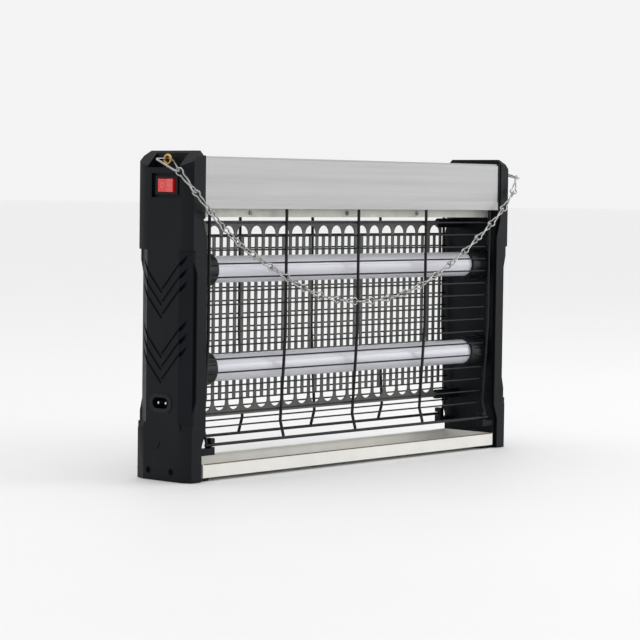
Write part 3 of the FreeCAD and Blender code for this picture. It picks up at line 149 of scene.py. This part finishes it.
MATERIALS = {
    "black_plastic": finish("black_plastic", (0.0020, 0.0034, 0.0052), (0.0038, 0.0058, 0.0082),
                            rough=(0.36, 0.48), scale=25, grain=1400, grain_depth=0.15,
                            specular=0.14),
    "gloss_black": finish("gloss_black", (0.0035, 0.004, 0.005), (0.006, 0.0065, 0.0075),
                          rough=(0.16, 0.28), scale=50, grain=500, grain_depth=0.03,
                          specular=0.2),
    "dark_holder": finish("dark_holder", (0.006, 0.007, 0.009), (0.01, 0.0115, 0.014),
                          rough=(0.32, 0.45), scale=60, grain=1100, grain_depth=0.12,
                          specular=0.25),
    "red_plastic": finish("red_plastic", (0.62, 0.012, 0.014), (0.78, 0.03, 0.03),
                          rough=(0.16, 0.26), scale=70, grain=500, grain_depth=0.02, coat=0.5,
                          subsurface=0.15),
    "satin_aluminium": finish("satin_aluminium", (0.36, 0.365, 0.36), (0.41, 0.415, 0.41),
                              rough=(0.42, 0.52), metallic=0.75, stretch=(0.02, 1, 1), scale=160,
                              grain=2600, grain_depth=0.06),
    "bare_aluminium": finish("bare_aluminium", (0.66, 0.66, 0.67), (0.74, 0.74, 0.75),
                             rough=(0.28, 0.4), metallic=1, stretch=(1, 1, 1), scale=80,
                             grain=1500, grain_depth=0.04),
    "galvanised": finish("galvanised", (0.47, 0.46, 0.42), (0.58, 0.57, 0.53),
                         rough=(0.42, 0.6), metallic=0.35, scale=45, grain=900,
                         grain_depth=0.05),
    "electrode_steel": finish("electrode_steel", (0.085, 0.09, 0.082), (0.13, 0.135, 0.125),
                              rough=(0.38, 0.52), metallic=0.6, stretch=(1, 1, 0.2), scale=120,
                              grain=1500, grain_depth=0.05),
    "black_wire": finish("black_wire", (0.004, 0.0045, 0.0055), (0.008, 0.0085, 0.0095),
                         rough=(0.34, 0.48), scale=120, grain=1800, grain_depth=0.12,
                         specular=0.25),
    "tube_glass": finish("tube_glass", (0.64, 0.64, 0.70), (0.70, 0.70, 0.76),
                         rough=(0.16, 0.24), stretch=(0.3, 1, 1), scale=20, grain=300,
                         grain_depth=0.01, coat=0.4, subsurface=0.3),
    "brass": finish("brass", (0.46, 0.23, 0.05), (0.62, 0.36, 0.10), rough=(0.22, 0.38),
                    metallic=1, scale=150, grain=1500, grain_depth=0.04),
    "core_steel": finish("core_steel", (0.10, 0.10, 0.105), (0.17, 0.17, 0.175),
                         rough=(0.4, 0.55), metallic=0.7, stretch=(0.2, 6, 0.2), scale=120,
                         grain=1600, grain_depth=0.2),
    "winding_tape": finish("winding_tape", (0.55, 0.36, 0.07), (0.68, 0.48, 0.12),
                           rough=(0.3, 0.5), stretch=(0.3, 0.3, 3), scale=120, grain=900,
                           grain_depth=0.1, coat=0.2),
    "circuit_board": finish("circuit_board", (0.30, 0.20, 0.08), (0.38, 0.27, 0.11),
                            rough=(0.4, 0.55), scale=70, grain=900, grain_depth=0.05),
    "can_sleeve": finish("can_sleeve", (0.02, 0.03, 0.09), (0.035, 0.05, 0.13),
                         rough=(0.2, 0.32), scale=90, grain=700, grain_depth=0.02, coat=0.3),
    "capacitor_blue": finish("capacitor_blue", (0.03, 0.11, 0.34), (0.05, 0.16, 0.44),
                             rough=(0.2, 0.34), scale=90, grain=600, grain_depth=0.04, coat=0.3),
    "white_nylon": finish("white_nylon", (0.66, 0.66, 0.62), (0.76, 0.76, 0.72),
                          rough=(0.4, 0.5), scale=90, grain=900, grain_depth=0.05,
                          subsurface=0.1),
    "screw_steel": finish("screw_steel", (0.10, 0.10, 0.11), (0.18, 0.18, 0.19),
                          rough=(0.3, 0.45), metallic=0.9, scale=200, grain=1500,
                          grain_depth=0.05),
    "dark_screw": finish("dark_screw", (0.0012, 0.0012, 0.0014), (0.0025, 0.0025, 0.0028),
                         rough=(0.35, 0.5), metallic=0.1, scale=200, grain=1500,
                         grain_depth=0.05, specular=0.06),
    "nickel": finish("nickel", (0.60, 0.57, 0.52), (0.74, 0.71, 0.66), rough=(0.2, 0.32),
                     metallic=1, scale=200, grain=1500, grain_depth=0.03),
    "tray_paint": finish("tray_paint", (0.74, 0.73, 0.69), (0.80, 0.79, 0.75),
                         rough=(0.4, 0.52), metallic=0.1, scale=35, grain=900,
                         grain_depth=0.04),
    "mark_paint": finish("mark_paint", (0.62, 0.30, 0.30), (0.72, 0.40, 0.40), rough=(0.4, 0.5),
                         scale=200, grain=1200, grain_depth=0.03),
    "edge_brown": finish("edge_brown", (0.10, 0.055, 0.025), (0.16, 0.09, 0.045),
                         rough=(0.5, 0.65), stretch=(0.05, 1, 1), scale=220, grain=1500,
                         grain_depth=0.05),
    "chain_steel": finish("chain_steel", (0.30, 0.30, 0.295), (0.46, 0.46, 0.45),
                          rough=(0.14, 0.3), metallic=1, scale=180, grain=1500,
                          grain_depth=0.04),
}
SLOT_OF = {item["node"]: item["material_slot"] for item in frame["record"]["subparts"]}


# ---------------------------------------------------------------- pieces from the CAD shapes

BEVEL_SEGMENTS = 2
BEVEL_FROM_ANGLE = math.radians(28)
SMOOTH_BELOW = math.radians(40)
JOIN_DISTANCE = 1e-6
FLAT_ANGLE = math.radians(0.6)


def shade_smooth(obj):
    """Smooth shading with the sharp edges kept."""
    for face in obj.data.polygons:
        face.use_smooth = True
    obj.data.set_sharp_from_angle(angle=SMOOTH_BELOW)


def own_mesh(source):
    """A clean copy of a CAD node's mesh: joined corners and no needless edges."""
    mesh = NODES[source].data.copy()
    mesh.materials.clear()
    work = bmesh.new()
    work.from_mesh(mesh)
    bmesh.ops.remove_doubles(work, verts=work.verts, dist=JOIN_DISTANCE)
    bmesh.ops.dissolve_limit(work, angle_limit=FLAT_ANGLE, verts=work.verts,
                             edges=work.edges)
    work.to_mesh(mesh)
    work.free()
    return mesh


def refine(source, bevel=0.0):
    """The visible form of one CAD node, with small rounded edges; the bevel is in millimetres."""
    obj = link_object(f"{source}_form", own_mesh(source))
    obj.data.materials.append(MATERIALS[SLOT_OF[source]])
    if bevel:
        edge = obj.modifiers.new("edges", "BEVEL")
        edge.width = bevel * MM
        edge.segments = BEVEL_SEGMENTS
        edge.limit_method = "ANGLE"
        edge.angle_limit = BEVEL_FROM_ANGLE
        edge.use_clamp_overlap = True
        edge.harden_normals = False
    shade_smooth(obj)
    normals = obj.modifiers.new("normals", "WEIGHTED_NORMAL")
    normals.keep_sharp = True
    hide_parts(source)
    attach(obj, BODY_OF[source])
    return obj


def paint(source):
    """A CAD node shown as it is, with its procedural finish."""
    mesh = NODES[source].data
    mesh.materials.clear()
    mesh.materials.append(MATERIALS[SLOT_OF[source]])


# ---------------------------------------------------------------- chain

CHAIN_ROUTE = [
    (-254.5, -28.5, 291.5), (-253.5, -38.5, 281.5), (-244.5, -43.5, 269.5),
    (-231.0, -43.0, 257.5), (-213.5, -42.0, 242.5), (-190.5, -41.5, 225.5),
    (-164.0, -41.5, 211.0), (-140.5, -41.5, 200.5), (-118.0, -41.5, 190.0),
    (-95.0, -41.5, 179.5), (-66.0, -41.5, 169.8), (-36.0, -41.5, 165.8),
    (-6.0, -41.5, 163.8), (24.0, -41.5, 165.0), (52.0, -41.5, 168.5), (78.0, -41.5, 175.5),
    (103.0, -41.5, 184.5), (130.0, -41.5, 196.5), (158.0, -41.5, 211.5),
    (183.0, -41.5, 227.5), (204.0, -42.0, 241.0), (222.0, -43.0, 255.5),
    (237.0, -43.5, 271.5), (250.0, -42.0, 283.0), (258.0, -33.5, 291.5),
]
LINK_TARGET, LINK_OVERLAP, LINK_WIRE, LINK_END = 26, 2.4, 0.8, 3.4
# turn of the links next to the two hooks, in degrees, fading out over a few links
LEFT_TWIST, RIGHT_TWIST, TWIST_LINKS = -25, 38, 8
# half width of a link between its eyes, and the length over which an eye narrows to it
LINK_NECK, LINK_TAPER = 1.5, 1.2
LINK_QUARTER = math.radians(90)
HOOKS = ("left_chain_hook", "right_chain_hook")
PATH_STEP = 4


def route_points():
    """Points read from the smooth spline that the chain follows."""
    curve = bpy.data.curves.new("chain_route", "CURVE")
    curve.dimensions = "3D"
    spline = curve.splines.new("NURBS")
    spline.points.add(len(CHAIN_ROUTE) - 1)
    for point, spot in zip(spline.points, CHAIN_ROUTE):
        point.co = (*(size * MM for size in spot), 1)
    spline.order_u = 3
    spline.use_endpoint_u = True
    spline.resolution_u = 24
    holder = link_object("chain_route", curve)
    bpy.context.view_layer.update()
    line = bpy.data.meshes.new_from_object(holder)
    points = [vertex.co / MM for vertex in line.vertices]
    bpy.data.objects.remove(holder)
    bpy.data.meshes.remove(line)
    return points


def at_distance(points, distance):
    for first, second in zip(points, points[1:]):
        gap = (second - first).length
        if distance <= gap:
            return first.lerp(second, distance / gap)
        distance -= gap
    return points[-1].copy()


def tube_along(work, path, radius, sides=10, closed=True):
    """A round wire along a path of points."""
    count = len(path)
    rings = []
    side_way = None
    for number, point in enumerate(path):
        before = path[(number - 1) % count] if closed or number else point
        after = path[(number + 1) % count] if closed or number < count - 1 else point
        along = (after - before).normalized()
        if side_way is None:
            side_way = along.orthogonal().normalized()
        side_way = (side_way - along * side_way.dot(along)).normalized()
        other = along.cross(side_way)
        rings.append([work.verts.new(point + (side_way * math.cos(turn) + other * math.sin(turn))
                                     * radius)
                      for turn in (2 * math.pi * k / sides for k in range(sides))])
    pairs = list(zip(rings, rings[1:]))
    for first, second in pairs:
        for k in range(sides):
            work.faces.new((first[k], first[(k + 1) % sides], second[(k + 1) % sides],
                            second[k]))
    if closed:
        start, end = rings[0], rings[-1]
        shift = min(range(sides), key=lambda s: sum(
            (end[k].co - start[(k + s) % sides].co).length for k in range(sides)))
        for k in range(sides):
            work.faces.new((end[k], end[(k + 1) % sides], start[(k + 1 + shift) % sides],
                            start[(k + shift) % sides]))
    else:
        work.faces.new(list(reversed(rings[0])))
        work.faces.new(rings[-1])


def twisted_link(half_length, steps=44):
    """A wire bent into two eyes a quarter turn apart, with the strands twisted between them."""
    centre = half_length - LINK_END
    blend_end = centre - LINK_END - LINK_TAPER

    def half_width(along):
        reach = abs(along)
        if reach >= centre:
            return math.sqrt(max(0.0, LINK_END ** 2 - (reach - centre) ** 2))
        if reach <= blend_end:
            return LINK_NECK
        share = (reach - blend_end) / (centre - blend_end)
        return LINK_NECK + (LINK_END - LINK_NECK) * math.sin(share * math.pi / 2) ** 1.5

    def spot(along, side):
        share = max(0.0, min(1.0, (along + blend_end) / (2 * blend_end)))
        turn = LINK_QUARTER * (share * share * (3 - 2 * share))
        width = half_width(along) * side
        return Vector((along, width * math.sin(turn), width * math.cos(turn)))

    marks = [half_length * math.sin(math.pi / 2 * (2 * k / steps - 1)) for k in range(steps + 1)]
    return [spot(mark, 1) for mark in marks] + [spot(mark, -1) for mark in marks[-2:0:-1]]


def build_chain():
    points = route_points()
    length = sum((b - a).length for a, b in zip(points, points[1:]))
    count = round(length / LINK_TARGET)
    pitch = length / count
    outline = twisted_link((pitch + LINK_OVERLAP) / 2)
    marks = [at_distance(points, number * pitch) for number in range(count + 1)]
    work = bmesh.new()
    for number, (start, end) in enumerate(zip(marks, marks[1:])):
        along = (end - start).normalized()
        twist = LEFT_TWIST * max(0, 1 - number / TWIST_LINKS)
        twist += RIGHT_TWIST * max(0, 1 - (count - 1 - number) / TWIST_LINKS)
        # both eyes of a link: the first stands in depth, the second lies across it
        depth = (Vector((0, 1, 0)) - along * along.y).normalized()
        turn = Matrix.Rotation(math.radians(twist), 3, along) @ Matrix(
            (along, depth.cross(along), depth)).transposed()
        middle = (start + end) / 2
        tube_along(work, [(middle + turn @ spot) * MM for spot in outline], LINK_WIRE * MM)
    mesh = bpy.data.meshes.new("chain")
    work.to_mesh(mesh)
    work.free()
    chain = link_object("chain", mesh)
    chain.data.materials.append(MATERIALS["chain_steel"])
    for face in chain.data.polygons:
        face.use_smooth = True
    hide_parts("chain_links")
    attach(chain, "chain")
    hooks = [refine(name) for name in HOOKS]
    path = [point * MM for point in points[::PATH_STEP]]
    if (path[-1] - points[-1] * MM).length > JOIN_DISTANCE:
        path.append(points[-1] * MM)


# ---------------------------------------------------------------- marks and small details

def detail(name, work, slot, body, material=None):
    """A small piece of its own, made from a bmesh in millimetres."""
    bmesh.ops.scale(work, vec=(MM, MM, MM), verts=work.verts)
    mesh = bpy.data.meshes.new(name)
    work.to_mesh(mesh)
    work.free()
    obj = link_object(name, mesh)
    obj.data.materials.append(MATERIALS[material or slot])
    shade_smooth(obj)
    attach(obj, body)
    return obj


# the rocker's trunnion axis, how far its two faces lie in front of the axis at their middle and
# how much further at their ends, its half length and its tilt at rest
ROCKER_AXIS = Vector((-237.8, -1.6, 277.3))
ROCKER_DISH, ROCKER_RISE, ROCKER_HALF = 4.9, 1.4, 11.2
ROCKER_TILT = math.radians(-7)


def on_rocker(half, across, up, lift=0.1):
    """A point on the left (+1) or right (-1) half of the rocker's face."""
    way = Vector((-ROCKER_RISE, ROCKER_HALF * half, 0)).normalized()
    outward = Vector((-ROCKER_HALF, -ROCKER_RISE * half, 0)).normalized()
    along = ROCKER_HALF / 2 + half * across
    spot = Vector((-ROCKER_DISH, 0, up)) + way * along + outward * lift
    return ROCKER_AXIS + Matrix.Rotation(ROCKER_TILT, 3, "Z") @ spot


def build_switch_marks():
    """The ring and the bar moulded on the two halves of the rocker."""
    ring = bmesh.new()
    half_width, half_height, steps = 1.7, 2.5, 28
    path = [on_rocker(1, half_width * math.cos(turn), half_height * math.sin(turn))
            for turn in (2 * math.pi * k / steps for k in range(steps))]
    tube_along(ring, path, 0.22, sides=8)
    detail("switch_mark_off", ring, "red_plastic", "rocker", "mark_paint")
    bar = bmesh.new()
    tube_along(bar, [on_rocker(-1, across, 0) for across in (-1.9, 0, 1.9)], 0.25, sides=8,
               closed=False)
    detail("switch_mark_on", bar, "red_plastic", "rocker", "mark_paint")


def build_tray_edge():
    """A thin dark brown line along the top of the tray's front edge."""
    low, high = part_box("catch_tray")
    line = bmesh.new()
    inset, radius, steps = 1.5, 0.6, 24
    start = Vector((low.x / MM + inset, low.y / MM + 0.25, high.z / MM - 0.15))
    end = Vector((high.x / MM - inset, start.y, start.z))
    path = [start.lerp(end, k / steps) for k in range(steps + 1)]
    tube_along(line, path, radius, sides=8, closed=False)
    detail("tray_edge_line", line, "tray_paint", "tray", "edge_brown")


# ---------------------------------------------------------------- light and floor

def build_world():
    """A white surround, a little brighter overhead."""
    world = bpy.data.worlds.new("studio")
    bpy.context.scene.world = world
    world.use_nodes = True
    tree = world.node_tree
    way = node(tree, "ShaderNodeTexCoord").outputs["Generated"]
    split = node(tree, "ShaderNodeSeparateXYZ")
    tree.links.new(way, split.inputs[0])
    overhead = spread(tree, split.outputs["Z"], 0.9, 1.15, 0.35, 0.9)
    tree.links.new(overhead, tree.nodes["Background"].inputs["Strength"])
    tree.nodes["Background"].inputs["Color"].default_value = (1, 1, 1, 1)


def build_stage():
    """A plain pale floor, a pale surround and two soft area lights."""
    build_world()
    size, height = 40, -0.0004
    mesh = bpy.data.meshes.new("floor")
    mesh.from_pydata([(-size, -size, height), (size, -size, height), (size, size, height),
                      (-size, size, height)], [], [(0, 1, 2, 3)])
    floor = link_object("floor", mesh)
    floor.data.materials.append(finish("floor", (0.80, 0.80, 0.803), (0.81, 0.81, 0.813),
                                       rough=(0.6, 0.7), scale=2, grain=60, grain_depth=0.0))
    bpy.context.scene.view_settings.view_transform = "Standard"
    for name, spot, size, power in (("key", (1.9, -1.9, 1.1), 1.8, 17),
                                    ("top", (0.1, -0.3, 2.6), 1.6, 7)):
        data = bpy.data.lights.new(name, "AREA")
        data.size = size
        data.energy = power
        lamp = link_object(name, data)
        lamp.location = spot
        lamp.rotation_mode = "QUATERNION"
        lamp.rotation_quaternion = (Vector(spot) - Vector((0, 0, 0.15))).to_track_quat("Z", "Y")


# ---------------------------------------------------------------- the whole unit

BEVELS = {
    "left_end_cap": 0.9, "right_end_cap": 0.9, "left_inner_plate": 0.4, "right_inner_plate": 0.4,
    "roof_profile": 0.5, "gear_channel": 0.3, "catch_tray": 0.3, "front_guard_clips": 0.5,
    "rear_guard_clips": 0.5, "upper_electrode_comb": 0.15, "lower_electrode_comb": 0.15,
    "upper_comb_insulators": 0.4, "lower_comb_insulators": 0.4,
    "upper_left_lamp_holder": 0.25, "upper_right_lamp_holder": 0.25,
    "lower_left_lamp_holder": 0.25, "lower_right_lamp_holder": 0.25,
    "switch_body": 0.3, "switch_rocker": 0.5, "inlet_housing": 0.6, "transformer_winding": 0.8,
    "terminal_block": 0.5, "upper_tube_caps": 0.8, "lower_tube_caps": 0.8,
}

make_camera()
build_chain()
build_switch_marks()
build_tray_edge()
for part_name in NODES:
    if part_name in BEVELS:
        refine(part_name, bevel=BEVELS[part_name])
    elif part_name not in ("chain_links", *HOOKS):
        paint(part_name)
build_stage()
